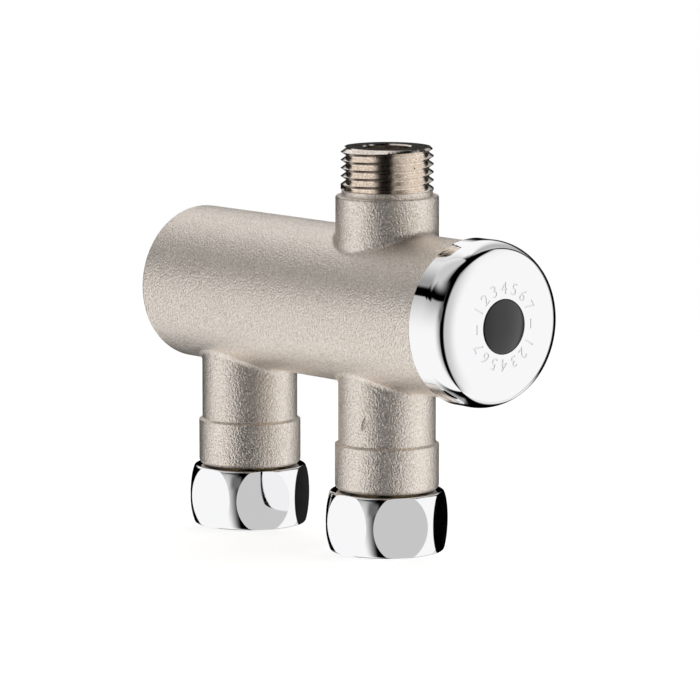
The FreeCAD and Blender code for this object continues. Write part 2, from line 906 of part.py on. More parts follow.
def gasket_ring(y):
    ring = tube_z(gasket_bottom, flange_bottom, gasket_r, gasket_bore_r, y)
    return ring.cut(rod_z(flange_bottom - strainer, flange_bottom, strainer_r + seat_gap, y))


def strainer_disc(y):
    # Perforated disc, its holes on a triangular grid
    disc = rod_z(flange_bottom - strainer, flange_bottom, strainer_r, y)
    holes = []
    for i in range(-strainer_rings, strainer_rings + 1):
        for j in range(-strainer_rings, strainer_rings + 1):
            if abs(i + j) <= strainer_rings:
                x = strainer_pitch * (i + j / 2)
                across = strainer_pitch * j * math.sqrt(3) / 2
                bottom = flange_bottom - strainer
                holes.append(rod_z(bottom, flange_bottom, strainer_hole_r, y + across, x))
    return disc.cut(holes)


def check_housing(y):
    outer_r = check_bore_r - seat_gap
    inner_r = outer_r - check_wall
    tube = tube_z(check_bottom, check_top, outer_r, inner_r, y)
    seat = tube_z(check_bottom, check_seat_top, inner_r + join, check_seat_r, y)
    hub = rod_z(spider_bottom, spider_top, check_hub_r, y)
    adds = [seat, hub]
    for k in range(check_arm_count):
        corner = V(0, y - check_arm_width / 2, spider_bottom)
        arm = Part.makeBox(inner_r + join, check_arm_width, check_spider, corner)
        arm.rotate(V(0, y, 0), up, 360.0 * k / check_arm_count + check_arm_turn)
        adds.append(arm)
    for z in (check_bottom + check_rib_low, check_bottom + check_rib_high):
        adds.append(tube_z(z, z + check_rib_width, outer_r + check_rib, inner_r + join, y))
    guide = rod_z(spider_bottom, spider_top, poppet_stem_r + poppet_stem_fit, y)
    return tube.fuse(adds).cut(guide)


def check_poppet(y):
    lip_top = seal_bottom
    lip_bottom = lip_top - poppet_lip
    stem_top = spider_bottom + poppet_stem_past_hub
    return turned_z([
        (lip_bottom, 0),
        (lip_bottom, poppet_lip_r - poppet_lip_slope),
        (lip_top, poppet_lip_r),
        (lip_top, poppet_neck_r),
        (disc_bottom, poppet_neck_r),
        (disc_bottom, poppet_r),
        (disc_top, poppet_r, edge_round),
        (disc_top, poppet_stem_r),
        (stem_top, poppet_stem_r, edge_round),
        (stem_top, 0),
    ], y)


def poppet_seal_ring(y):
    return tube_z(seal_bottom, disc_bottom, poppet_r, poppet_neck_r + seal_gap, y)


def check_spring(y):
    return coil(check_spring_r, check_wire, spider_bottom - disc_top, check_turns, V(0, y, disc_top), up)


pieces = {
    "valve_body": valve_body(),
    "control_knob": control_knob(),
    "knob_plug": knob_plug(),
    "knob_screw": knob_screw(),
    "adjusting_spindle": adjusting_spindle(),
    "spindle_oring": spindle_oring(),
    "spindle_circlip": spindle_circlip(),
    "bonnet": bonnet(),
    "bonnet_oring": bonnet_oring(),
    "regulating_nut": regulating_nut(),
    "overload_spring": overload_spring(),
    "overload_cap": overload_cap_disc(),
    "cap_snap_ring": cap_snap_ring(),
    "element_piston": element_piston(),
    "wax_element": wax_element(),
    "shuttle": shuttle(),
    "shuttle_oring": shuttle_oring(),
    "return_spring": return_spring(),
    "hot_seat": hot_seat_plug(),
    "cartridge_sleeve": cartridge_sleeve(),
    "sleeve_front_oring": sleeve_oring(0),
    "sleeve_rear_oring": sleeve_oring(web_middle),
}

for side, inlet_y, nut_turn in (("cold", 0, cold_nut_turn), ("hot", inlet_spacing, hot_nut_turn)):
    pieces[side + "_union_nut"] = union_nut(inlet_y, nut_turn)
    pieces[side + "_tail_piece"] = tail_piece(inlet_y)
    pieces[side + "_tail_oring"] = tail_oring(inlet_y)
    pieces[side + "_gasket"] = gasket_ring(inlet_y)
    pieces[side + "_strainer"] = strainer_disc(inlet_y)
    pieces[side + "_check_housing"] = check_housing(inlet_y)
    pieces[side + "_check_poppet"] = check_poppet(inlet_y)
    pieces[side + "_poppet_seal"] = poppet_seal_ring(inlet_y)
    pieces[side + "_check_spring"] = check_spring(inlet_y)

os.makedirs("parts", exist_ok=True)
for name, shape in pieces.items():
    shape.exportStep("parts/" + name + ".step")
    print(name, len(shape.Solids), shape.isValid(), round(shape.Volume, 1))
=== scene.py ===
import json
import math

import bpy
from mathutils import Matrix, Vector

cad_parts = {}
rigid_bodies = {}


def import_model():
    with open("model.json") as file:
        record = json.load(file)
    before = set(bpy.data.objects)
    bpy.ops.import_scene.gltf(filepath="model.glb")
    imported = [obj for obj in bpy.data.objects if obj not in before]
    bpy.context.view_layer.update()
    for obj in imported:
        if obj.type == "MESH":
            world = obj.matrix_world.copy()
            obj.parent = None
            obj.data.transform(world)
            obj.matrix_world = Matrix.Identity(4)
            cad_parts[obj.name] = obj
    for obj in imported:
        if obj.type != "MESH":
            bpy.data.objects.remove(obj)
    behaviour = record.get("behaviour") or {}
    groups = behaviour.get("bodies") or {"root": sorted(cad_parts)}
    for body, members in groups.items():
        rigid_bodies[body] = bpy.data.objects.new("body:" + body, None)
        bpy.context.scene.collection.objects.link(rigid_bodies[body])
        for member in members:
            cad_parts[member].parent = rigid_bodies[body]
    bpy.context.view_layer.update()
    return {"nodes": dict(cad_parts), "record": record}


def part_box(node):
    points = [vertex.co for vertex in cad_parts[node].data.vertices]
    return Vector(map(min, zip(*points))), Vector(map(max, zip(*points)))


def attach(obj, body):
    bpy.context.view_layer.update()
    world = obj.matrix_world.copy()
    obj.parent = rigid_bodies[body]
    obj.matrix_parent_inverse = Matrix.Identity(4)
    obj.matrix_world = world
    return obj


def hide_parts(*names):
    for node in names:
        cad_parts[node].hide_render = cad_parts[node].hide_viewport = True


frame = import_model()
mm = 0.001
near = 0.02  # mm within which a point counts as lying on a plane or a ring
past = 1.0  # mm that a cutter runs past the face it cuts

# the barrel's axis runs along Y, level with the middle of the knob
knobLow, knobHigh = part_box("control_knob")
axisHeight = (knobLow.z + knobHigh.z) / 2 / mm
print("frame loaded, barrel axis at", round(axisHeight, 2), "mm")


# helpers for working on one object at a time

def useOnly(piece):
    if bpy.context.mode != "OBJECT":
        bpy.ops.object.mode_set(mode="OBJECT")
    bpy.ops.object.select_all(action="DESELECT")
    piece.select_set(True)
    bpy.context.view_layer.objects.active = piece


def settle(piece):
    # place, turn and size go into the mesh
    useOnly(piece)
    bpy.ops.object.transform_apply(location=True, rotation=True, scale=True)


def pickFaces(piece, test):
    useOnly(piece)
    bpy.ops.object.mode_set(mode="EDIT")
    bpy.ops.mesh.select_mode(type="FACE")
    bpy.ops.mesh.select_all(action="DESELECT")
    bpy.ops.object.mode_set(mode="OBJECT")
    for face in piece.data.polygons:
        face.select = test(face.center / mm, face.normal)
    bpy.ops.object.mode_set(mode="EDIT")


def pickEdges(piece, test):
    # test gets both ends of an edge in mm
    useOnly(piece)
    bpy.ops.object.mode_set(mode="EDIT")
    bpy.ops.mesh.select_mode(type="EDGE")
    bpy.ops.mesh.select_all(action="DESELECT")
    bpy.ops.object.mode_set(mode="OBJECT")
    points = piece.data.vertices
    for edge in piece.data.edges:
        a, b = edge.vertices
        edge.select = test(points[a].co / mm, points[b].co / mm)
    bpy.ops.object.mode_set(mode="EDIT")


def extrude(y=0.0, z=0.0):
    bpy.ops.mesh.extrude_region_move(TRANSFORM_OT_translate={"value": (0, y * mm, z * mm)})


def inset(width, rise=0.0):
    bpy.ops.mesh.inset(thickness=width * mm, depth=rise * mm)


def bevelPicked(width, segments):
    bpy.ops.mesh.bevel(offset=width * mm, segments=segments, affect="EDGES")
    bpy.ops.object.mode_set(mode="OBJECT")


def combine(piece, other, operation):
    # boolean with a helper object that is thrown away afterwards
    useOnly(piece)
    bpy.ops.object.modifier_add(type="BOOLEAN")
    step = piece.modifiers[-1]
    step.operation = operation
    step.solver = "EXACT"
    step.material_mode = "TRANSFER"
    step.object = other
    bpy.ops.object.modifier_apply(modifier=step.name)
    bpy.data.objects.remove(other)


def joinTo(piece, others):
    useOnly(piece)
    for other in others:
        other.select_set(True)
    bpy.ops.object.join()


def mergePoints(distance):
    # works on the whole mesh that is in edit mode
    bpy.ops.mesh.select_all(action="SELECT")
    bpy.ops.mesh.remove_doubles(threshold=distance * mm)


def turnNormalsOut(piece):
    useOnly(piece)
    bpy.ops.object.mode_set(mode="EDIT")
    mergePoints(0.0005)
    bpy.ops.mesh.normals_make_consistent(inside=False)
    bpy.ops.object.mode_set(mode="OBJECT")


def smoothBelow(piece, angle, weighted=True):
    useOnly(piece)
    bpy.ops.object.shade_smooth_by_angle(angle=math.radians(angle))
    if not weighted:
        return
    bpy.ops.object.modifier_add(type="WEIGHTED_NORMAL")
    step = piece.modifiers[-1]
    step.keep_sharp = True
    bpy.ops.object.modifier_apply(modifier=step.name)


def copyNode(nodeName, pieceName):
    # merged copy of a CAD node, free of its body
    useOnly(frame["nodes"][nodeName])
    bpy.ops.object.duplicate()
    piece = bpy.context.object
    bpy.ops.object.parent_clear(type="CLEAR_KEEP_TRANSFORM")
    piece.name = pieceName
    for key in [k for k in piece.keys() if k.startswith("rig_")]:
        del piece[key]
    bpy.ops.mesh.customdata_custom_splitnormals_clear()
    bpy.ops.object.mode_set(mode="EDIT")
    mergePoints(0.001)
    bpy.ops.object.mode_set(mode="OBJECT")
    return piece


def cylinder(name, radius, low, high, sides, along="Z", y=0.0):
    # along Y it lies on the barrel's axis, along Z it stands at the given y
    middle = (low + high) / 2
    place = (0, middle, axisHeight) if along == "Y" else (0, y, middle)
    turn = (math.radians(90), 0, 0) if along == "Y" else (0, 0, 0)
    bpy.ops.mesh.primitive_cylinder_add(
        vertices=sides, radius=radius * mm, depth=(high - low) * mm,
        location=[v * mm for v in place], rotation=turn)
    piece = bpy.context.object
    piece.name = name
    settle(piece)
    return piece


# finishes

def newMaterial(name):
    material = bpy.data.materials.new(name)
    material.use_nodes = True
    material.node_tree.nodes.clear()
    return material


def addNode(tree, kind, settings=None, inputs=None):
    made = tree.nodes.new(kind)
    for key, value in (settings or {}).items():
        setattr(made, key, value)
    for key, value in (inputs or {}).items():
        if isinstance(value, bpy.types.NodeSocket):
            tree.links.new(value, made.inputs[key])
        else:
            made.inputs[key].default_value = value
    return made


def mathNode(tree, operation, *values):
    inputs = dict(enumerate(values))
    return addNode(tree, "ShaderNodeMath", {"operation": operation}, inputs).outputs[0]


def vectorNode(tree, operation, inputs):
    return addNode(tree, "ShaderNodeVectorMath", {"operation": operation}, inputs)


def spread(tree, value, fromLow, fromHigh, toLow, toHigh, curve="LINEAR"):
    inputs = {"Value": value, "From Min": fromLow, "From Max": fromHigh, "To Min": toLow, "To Max": toHigh}
    return addNode(tree, "ShaderNodeMapRange", {"interpolation_type": curve}, inputs).outputs["Result"]


def objectSpace(tree, scale=(1, 1, 1), turn=(0, 0, 0)):
    place = addNode(tree, "ShaderNodeTexCoord").outputs["Object"]
    inputs = {"Vector": place, "Scale": scale, "Rotation": [math.radians(t) for t in turn]}
    return addNode(tree, "ShaderNodeMapping", None, inputs).outputs["Vector"]


def noise(tree, vector, size, detail=2.0):
    # size is that of one blotch in mm
    inputs = {"Vector": vector, "Scale": 1 / (size * mm), "Detail": detail}
    return addNode(tree, "ShaderNodeTexNoise", None, inputs).outputs[0]


def roughness(tree, pattern, span):
    # most of a noise lies between 0.3 and 0.7
    return spread(tree, pattern, 0.3, 0.7, *span)


def bumps(tree, height, distance, strength=1.0):
    inputs = {"Height": height, "Distance": distance * mm, "Strength": strength}
    return addNode(tree, "ShaderNodeBump", None, inputs).outputs["Normal"]


def surface(material, inputs):
    tree = material.node_tree
    shader = addNode(tree, "ShaderNodeBsdfPrincipled", None, inputs)
    output = addNode(tree, "ShaderNodeOutputMaterial")
    tree.links.new(shader.outputs[0], output.inputs["Surface"])
    return material


def twoTones(tree, factor, first, second):
    made = addNode(tree, "ShaderNodeMix", {"data_type": "RGBA"}, {0: factor})
    made.inputs[6].default_value = first + (1,)
    made.inputs[7].default_value = second + (1,)
    return made.outputs[2]


# blasted grain in streaks and specks, with darker pits; the machined thread above it is plain
casting = {
    "light": (0.95, 0.875, 0.80), "dark": (0.72, 0.64, 0.56), "roughness": (0.29, 0.36), "blotch": 9.0,
    "grainLength": 0.5, "grainWidth": 0.36, "grainTurn": (38, 0, 0), "grainHeight": 0.16,
    "streakDetail": 2.5, "speckShare": 1.3, "speckDetail": 3.5, "pit": 0.42, "pitEdges": (0.36, 0.6),
    "threadRoughness": 0.16, "threadStart": 82.0, "threadBlend": 0.2,
}


def castingFinish():
    material = newMaterial("nickel casting")
    tree = material.node_tree
    plain = objectSpace(tree)
    width = casting["grainWidth"]
    slanted = objectSpace(tree, (1, 1, width / casting["grainLength"]), casting["grainTurn"])
    streaks = noise(tree, slanted, width, casting["streakDetail"])
    specks = noise(tree, plain, width * casting["speckShare"], casting["speckDetail"])
    grain = mathNode(tree, "ADD", streaks, specks)
    height = addNode(tree, "ShaderNodeSeparateXYZ", None, {"Vector": plain}).outputs["Z"]
    start = casting["threadStart"] * mm
    blasted = spread(tree, height, start, start + casting["threadBlend"] * mm, 1.0, 0.0)
    rough = roughness(tree, noise(tree, plain, casting["blotch"], 3.0), casting["roughness"])
    rough = mathNode(tree, "MULTIPLY", rough, blasted)
    machined = spread(tree, blasted, 0.0, 1.0, casting["threadRoughness"], 0.0)
    pits = spread(tree, noise(tree, plain, casting["pit"]), *casting["pitEdges"], 0.0, 1.0)
    return surface(material, {
        "Base Color": twoTones(tree, pits, casting["dark"], casting["light"]), "Metallic": 1.0,
        "Roughness": mathNode(tree, "ADD", rough, machined),
        "Normal": bumps(tree, mathNode(tree, "MULTIPLY", grain, blasted), casting["grainHeight"])})


chrome = {
    "color": (0.93, 0.93, 0.94), "roughness": (0.015, 0.05), "haze": 2.0, "wave": 6.0, "waveHeight": 0.002,
}


def chromeFinish():
    material = newMaterial("chrome plate")
    tree = material.node_tree
    wave = noise(tree, objectSpace(tree), chrome["wave"], 1.0)
    haze = noise(tree, objectSpace(tree), chrome["haze"], 3.0)
    return surface(material, {
        "Base Color": chrome["color"] + (1,), "Metallic": 1.0,
        "Roughness": roughness(tree, haze, chrome["roughness"]),
        "Normal": bumps(tree, wave, chrome["waveHeight"])})


# etched floor of the marks in the knob's face
etching = {"light": (0.9, 0.9, 0.91), "dark": (0.74, 0.74, 0.75), "roughness": 0.34, "grit": 0.12}


def engravedFinish():
    material = newMaterial("engraved chrome")
    tree = material.node_tree
    grit = noise(tree, objectSpace(tree), etching["grit"])
    return surface(material, {
        "Base Color": twoTones(tree, grit, etching["dark"], etching["light"]),
        "Metallic": 1.0, "Roughness": etching["roughness"]})


# the real plug looks more domed than the modelled one, so the finish raises the dome's slope
moulding = {
    "color": (0.004, 0.004, 0.004), "ior": 1.6, "roughness": (0.1, 0.16), "haze": 2.0,
    "domeRadius": 6.05, "domeRise": 0.8,
}


def plugFinish():
    material = newMaterial("black plug")
    tree = material.node_tree
    plain = objectSpace(tree)
    centred = vectorNode(tree, "SUBTRACT", {0: plain, 1: (0, 0, axisHeight * mm)}).outputs[0]
    flat = vectorNode(tree, "MULTIPLY", {0: centred, 1: (1, 0, 1)}).outputs[0]
    share = vectorNode(tree, "SCALE", {0: flat, "Scale": 1 / (moulding["domeRadius"] * mm)}).outputs[0]
    square = vectorNode(tree, "DOT_PRODUCT", {0: share, 1: share}).outputs["Value"]
    dome = mathNode(tree, "SUBTRACT", 1.0, square)
    haze = noise(tree, plain, moulding["haze"], 3.0)
    return surface(material, {
        "Base Color": moulding["color"] + (1,), "IOR": moulding["ior"],
        "Roughness": roughness(tree, haze, moulding["roughness"]),
        "Normal": bumps(tree, dome, moulding["domeRise"])})


# turned or drawn metal, with fine marks across its surface
metals = {
    "bare_brass": {
        "light": (0.80, 0.64, 0.37), "dark": (0.70, 0.54, 0.29), "roughness": (0.22, 0.34), "mark": 0.8},
    "element_copper": {
        "light": (0.82, 0.50, 0.35), "dark": (0.68, 0.38, 0.25), "roughness": (0.2, 0.32), "mark": 0.8},
    "stainless": {
        "light": (0.68, 0.68, 0.67), "dark": (0.58, 0.58, 0.57), "roughness": (0.18, 0.3), "mark": 0.6},
}
metalMarks = {"squeeze": 6, "height": 0.01, "strength": 0.6}

# plastic, rubber and pressed fibre
softs = {
    "valve_plastic": {
        "light": (0.87, 0.87, 0.85), "dark": (0.80, 0.80, 0.78), "roughness": (0.35, 0.45),
        "grain": 0.6, "grainHeight": 0.01},
    "gasket_fibre": {
        "light": (0.12, 0.25, 0.18), "dark": (0.07, 0.16, 0.11), "roughness": (0.6, 0.8),
        "grain": 0.35, "grainHeight": 0.03},
    "seal_rubber": {
        "light": (0.035, 0.035, 0.035), "dark": (0.02, 0.02, 0.02), "roughness": (0.4, 0.55),
        "grain": 0.4, "grainHeight": 0.01},
}
softStrength = 0.7


def patternedFinish(slotName, look, metallic, place, size, height, strength):
    # one noise gives the tones, the roughness and the relief
    material = newMaterial(slotName.replace("_", " "))
    tree = material.node_tree
    pattern = noise(tree, objectSpace(tree, place), size, 3.0)
    return surface(material, {
        "Base Color": twoTones(tree, pattern, look["dark"], look["light"]), "Metallic": metallic,
        "Roughness": roughness(tree, pattern, look["roughness"]),
        "Normal": bumps(tree, pattern, height, strength)})


finishes = {
    "nickel_casting": castingFinish(),
    "chrome_plate": chromeFinish(),
    "black_plug": plugFinish(),
}
for slotName, look in metals.items():
    across = (1, metalMarks["squeeze"], metalMarks["squeeze"])
    finishes[slotName] = patternedFinish(
        slotName, look, 1.0, across, look["mark"], metalMarks["height"], metalMarks["strength"])
for slotName, look in softs.items():
    finishes[slotName] = patternedFinish(
        slotName, look, 0.0, (1, 1, 1), look["grain"], look["grainHeight"], softStrength)
engraved = engravedFinish()

for part in frame["record"]["subparts"]:
    node = frame["nodes"][part["node"]]
    node.data.materials.clear()
    node.data.materials.append(finishes[part["material_slot"]])
print("finishes on", len(frame["nodes"]), "nodes")


def finishPiece(piece, body, slotName, *nodes):
    if not piece.data.materials:
        piece.data.materials.append(finishes[slotName])
    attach(piece, body)
    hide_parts(*nodes)


# thread shared by the outlet and the union nuts: 55 degree pipe thread, 14 to the inch
pipeThread = {"pitch": 1.814, "depth": 1.16, "crest": 0.16, "root": 0.15, "gap": 0.02, "steps": 96}


def threadRidge(name, radius, low, turns, y=0.0, phase=0.0):
    # ridge swept along a helix; it points inwards from the radius, with a flat tip
    pitch = pipeThread["pitch"]
    root = radius + pipeThread["root"]
    crest = radius - pipeThread["depth"]
    half = pitch / 2 - pipeThread["gap"]
    tip = pipeThread["crest"] / 2
    bpy.ops.mesh.primitive_plane_add(size=1)
    ridge = bpy.context.object
    ridge.name = name
    corners = [(root, -half), (radius, -half), (crest, -tip), (crest, tip), (radius, half), (root, half)]
    ridge.data.clear_geometry()
    ridge.data.from_pydata([(r * mm, 0, z * mm) for r, z in corners], [], [range(len(corners))])
    useOnly(ridge)
    bpy.ops.object.modifier_add(type="SCREW")
    sweep = ridge.modifiers[-1]
    sweep.axis = "Z"
    sweep.angle = math.radians(360)
    sweep.screw_offset = pitch * mm
    sweep.iterations = turns
    sweep.steps = pipeThread["steps"]
    sweep.render_steps = pipeThread["steps"]
    sweep.use_merge_vertices = False
    sweep.use_smooth_shade = False
    bpy.ops.object.modifier_apply(modifier=sweep.name)
    bpy.ops.object.mode_set(mode="EDIT")
    bpy.ops.mesh.select_all(action="DESELECT")
    bpy.ops.mesh.select_mode(type="EDGE")
    bpy.ops.mesh.select_non_manifold()
    bpy.ops.mesh.edge_face_add()
    bpy.ops.object.mode_set(mode="OBJECT")
    ridge.location = (0, y * mm, low * mm)
    ridge.rotation_euler = (0, 0, math.radians(phase))
    settle(ridge)
    turnNormalsOut(ridge)
    return ridge


# casting with the outlet's thread cut into it

outlet = {
    "threadRadius": 10.4775, "threadLow": 82.1, "top": 91.8, "crestHeight": 87.0, "crestAngle": 139.2,
    "sharp": 32.0,
}

# small dents and nicks: azimuth, height and radius of the place, then half sizes across, along, deep.
# The middle of each lies outside its radius by a share of its depth
scars = {
    "outside": 0.25,
    "places": [
        {"azimuth": 201.7, "height": 30.4, "radius": 11.05, "size": (0.75, 2.0, 0.5), "lean": -20.0},
        {"azimuth": 243.5, "height": 22.4, "radius": 11.8, "size": (0.22, 0.8, 0.25), "lean": -28.0},
        {"azimuth": 264.8, "height": 88.1, "radius": 10.3, "size": (0.3, 0.7, 0.35), "lean": -15.0},
    ],
}


def cutScars(body):
    for scar in scars["places"]:
        across, along, deep = scar["size"]
        a = math.radians(scar["azimuth"])
        radius = scar["radius"] + deep * scars["outside"]
        bpy.ops.mesh.primitive_ico_sphere_add(subdivisions=3, radius=mm)
        dent = bpy.context.object
        dent.scale = (deep, across, along)
        dent.rotation_euler = (math.radians(scar["lean"]), 0, 0)
        settle(dent)
        dent.rotation_euler = (0, 0, a)
        dent.location = Vector((math.cos(a) * radius, math.sin(a) * radius, scar["height"])) * mm
        settle(dent)
        dent.data.materials.append(finishes["nickel_casting"])
        combine(body, dent, "DIFFERENCE")


def makeCasting():
    body = copyNode("valve_body", "casting")
    body.data.materials.clear()
    body.data.materials.append(finishes["nickel_casting"])
    pitch = pipeThread["pitch"]
    turns = int((outlet["top"] - outlet["threadLow"]) / pitch) + 2
    # the groove lies half a pitch off the crest
    start = outlet["crestHeight"] - pitch / 2
    while start > outlet["threadLow"] + pitch / 2:
        start -= pitch
    groove = threadRidge("groove", outlet["threadRadius"], start, turns, phase=outlet["crestAngle"])
    groove.data.materials.append(finishes["nickel_casting"])
    combine(body, groove, "DIFFERENCE")
    cutScars(body)
    smoothBelow(body, outlet["sharp"])
    finishPiece(body, "valve", "nickel_casting", "valve_body")
    return body


castingPiece = makeCasting()
print("casting", len(castingPiece.data.polygons), "faces")


# knob: a polished cup with a domed face, a recess for its plug and engraved marks round it

knob = {
    "length": 10.85, "faceCurve": 232.0, "faceSlope": 3.3, "shoulderRound": 7.5, "shoulderSlope": 29.0,
    "edgeRound": 2.2, "edgeSlope": 57.0, "rimRound": 0.4, "rimSteps": 5, "wall": 2.0, "face": 3.7,
    "hubRadius": 6.5, "hubShort": 0.5, "recessRadius": 6.15, "recessDepth": 1.6, "lipRound": 0.12,
    "lipSteps": 3, "headRadius": 3.6, "headDepth": 2.2, "screwRadius": 2.1, "web": 1.7,
    "toothRadius": 4.05, "toothDepth": 0.5, "teeth": 16, "pilotGap": 0.4,
    "lugInner": 10.0, "lugOuter": 12.0, "lugAngle": 28.0, "lugRear": -33.1, "lugSink": 0.2, "lugSides": 360,
    "sides": 192, "faceRings": 10, "arcRings": 14, "sharp": 32.0,
}
knobRadius = (knobHigh.z - knobLow.z) / 2 / mm
knobRear = knobHigh.y / mm
knobFront = knobRear - knob["length"]
roomEnd = knobFront + knob["face"]
webRear = knobFront + knob["recessDepth"] + knob["headDepth"] + knob["web"]


def faceDepth(across):
    # how far the shallow face lies behind its middle, at a distance from the axis
    return knob["faceCurve"] - math.sqrt(knob["faceCurve"] ** 2 - across * across)


def knobRings():
    # rings from the lip out to the straight side, as distance from the axis and depth
    faceEnd = knob["faceCurve"] * math.sin(math.radians(knob["faceSlope"]))
    rings = []
    for k in range(knob["faceRings"] + 1):
        across = knob["recessRadius"] + (faceEnd - knob["recessRadius"]) * k / knob["faceRings"]
        rings.append((across, faceDepth(across)))
    last = math.radians(knob["faceSlope"])
    for arc in ("shoulder", "edge", "side"):
        across, depth = rings[-1]
        if arc == "side":
            # the last arc ends on the straight side
            end = math.radians(90)
            radius = (knobRadius - across) / (1 - math.sin(last))
        else:
            end = math.radians(knob[arc + "Slope"])
            radius = knob[arc + "Round"]
        for k in range(knob["arcRings"]):
            now = last + (end - last) * (k + 1) / knob["arcRings"]
            rings.append((across + radius * (math.sin(now) - math.sin(last)),
                          depth + radius * (math.cos(last) - math.cos(now))))
        last = end
    return rings


def faceAt(y, way):
    return lambda centre, normal: abs(centre.y - y) < near and normal.y * way > 0.9


def ringAt(y, ringRadius):
    def onRing(point):
        across = math.hypot(point.x, point.z - axisHeight)
        return abs(point.y - y) < near and abs(across - ringRadius) < near
    return lambda a, b: onRing(a) and onRing(b)


def shapeBack(cup):
    # room, hub and the toothed bore's pilot
    hubRear = knobRear - knob["hubShort"]
    pilot = knob["toothRadius"] - knob["toothDepth"] - knob["pilotGap"]
    pickFaces(cup, faceAt(knobRear, 1))
    inset(knob["wall"])
    extrude(y=roomEnd - knobRear)
    inset(knobRadius - knob["wall"] - knob["hubRadius"])
    extrude(y=hubRear - roomEnd)
    inset(knob["hubRadius"] - pilot)
    extrude(y=webRear - hubRear)
    inset(pilot - knob["screwRadius"])
    bpy.ops.mesh.delete(type="FACE")


def shapeFace(cup, rings):
    # side, edge, shoulder and face, ring by ring, then the recess and the screw's seat
    across, depth = rings[-1]
    pickFaces(cup, faceAt(knobFront + depth, -1))
    for nextAcross, nextDepth in reversed(rings[:-1]):
        inset(across - nextAcross, depth - nextDepth)
        across, depth = nextAcross, nextDepth
    extrude(y=knob["recessDepth"] - depth)
    inset(knob["recessRadius"] - knob["headRadius"])
    extrude(y=knob["headDepth"])
    inset(knob["headRadius"] - knob["screwRadius"])
    extrude(y=knob["web"])
    bpy.ops.mesh.delete(type="FACE")


def cutTeeth(cup):
    # star-shaped bore that drives the spindle
    star = cylinder("teeth", knob["toothRadius"], webRear, knobRear, 2 * knob["teeth"], "Y")
    share = 1 - knob["toothDepth"] / knob["toothRadius"]
    step = 360 / knob["teeth"]
    useOnly(star)
    bpy.ops.object.mode_set(mode="EDIT")
    bpy.ops.mesh.select_mode(type="VERT")
    bpy.ops.mesh.select_all(action="DESELECT")
    bpy.ops.object.mode_set(mode="OBJECT")
    for point in star.data.vertices:
        place = point.co / mm
        turn = math.degrees(math.atan2(place.x, place.z - axisHeight)) % step
        point.select = min(turn, step - turn) > step / 4
    bpy.ops.object.mode_set(mode="EDIT")
    bpy.ops.transform.resize(value=(share, 1, share), center_override=(0, 0, axisHeight * mm))
    bpy.ops.object.mode_set(mode="OBJECT")
    combine(cup, star, "DIFFERENCE")


def addLug(cup):
    # stop lug inside the cup, at its top
    start = roomEnd - knob["lugSink"]
    lug = cylinder("lug", knob["lugInner"], start, knob["lugRear"], knob["lugSides"], "Y")
    half = knob["lugAngle"] / 2

    def onTop(centre, normal):
        turn = math.degrees(math.atan2(centre.x, centre.z - axisHeight))
        return abs(normal.y) < 0.1 and abs(turn) < half

    pickFaces(lug, onTop)
    bpy.ops.mesh.select_all(action="INVERT")
    bpy.ops.mesh.delete(type="FACE")
    bpy.ops.mesh.select_all(action="SELECT")
    thick = knob["lugOuter"] - knob["lugInner"]
    bpy.ops.mesh.solidify(thickness=-thick * mm)
    bpy.ops.object.mode_set(mode="OBJECT")
    turnNormalsOut(lug)
    combine(cup, lug, "UNION")


def makeKnob():
    rings = knobRings()
    cup = cylinder("knob", knobRadius, knobFront + rings[-1][1], knobRear, knob["sides"], "Y")
    shapeBack(cup)
    shapeFace(cup, rings)
    turnNormalsOut(cup)
    pickEdges(cup, ringAt(knobRear, knobRadius))
    bevelPicked(knob["rimRound"], knob["rimSteps"])
    pickEdges(cup, ringAt(knobFront + rings[0][1], knob["recessRadius"]))
    bevelPicked(knob["lipRound"], knob["lipSteps"])
    cup.data.materials.append(finishes["chrome_plate"])
    return cup


# engraved scale round the plug: plain numbers twice, with a dash between

marks = {
    "text": "1234567", "middles": (0.0, 180.0), "spacing": 20.5, "radius": 8.4, "size": 3.9,
    "curveSteps": 5, "depth": 0.07, "above": 0.3,
    "dashAngles": (90.0, 270.0), "dashRadius": 8.0, "dashLength": 2.2, "dashWidth": 0.26,
}


def placeMark(piece, angle, radius):
    a = math.radians(angle)
    piece.rotation_euler = (math.radians(90), a, 0)
    piece.location = Vector((math.sin(a) * radius, 0, axisHeight + math.cos(a) * radius)) * mm
    settle(piece)


def numberCutter(character, angle):
    bpy.ops.object.text_add()
    piece = bpy.context.object
    piece.data.body = character
    piece.data.size = marks["size"] * mm
    piece.data.align_x = "CENTER"
    piece.data.align_y = "CENTER"
    piece.data.extrude = (marks["above"] + marks["depth"]) / 2 * mm
    piece.data.resolution_u = marks["curveSteps"]
    useOnly(piece)
    bpy.ops.object.convert(target="MESH")
    piece = bpy.context.object
    placeMark(piece, angle, marks["radius"])
    return piece


def dashCutter(angle):
    bpy.ops.mesh.primitive_cube_add(size=1)
    piece = bpy.context.object
    tall = marks["above"] + marks["depth"]
    piece.dimensions = Vector((marks["dashLength"], marks["dashWidth"], tall)) * mm
    bpy.ops.object.transform_apply(location=False, rotation=False, scale=True)
    placeMark(piece, angle, marks["dashRadius"])
    return piece


def cutMarks(cup):
    cutters = []
    half = (len(marks["text"]) - 1) / 2
    for middle in marks["middles"]:
        for k, character in enumerate(marks["text"]):
            cutters.append(numberCutter(character, middle + (k - half) * marks["spacing"]))
    for angle in marks["dashAngles"]:
        cutters.append(dashCutter(angle))
    cutter = cutters[0]
    joinTo(cutter, cutters[1:])
    turnNormalsOut(cutter)
    # the cutters follow the dome, so that each mark is equally deep
    shift = knobFront + (marks["depth"] - marks["above"]) / 2
    for point in cutter.data.vertices:
        across = math.hypot(point.co.x, point.co.z - axisHeight * mm) / mm
        point.co.y += (shift + faceDepth(across)) * mm
    cutter.data.materials.append(engraved)
    combine(cup, cutter, "DIFFERENCE")


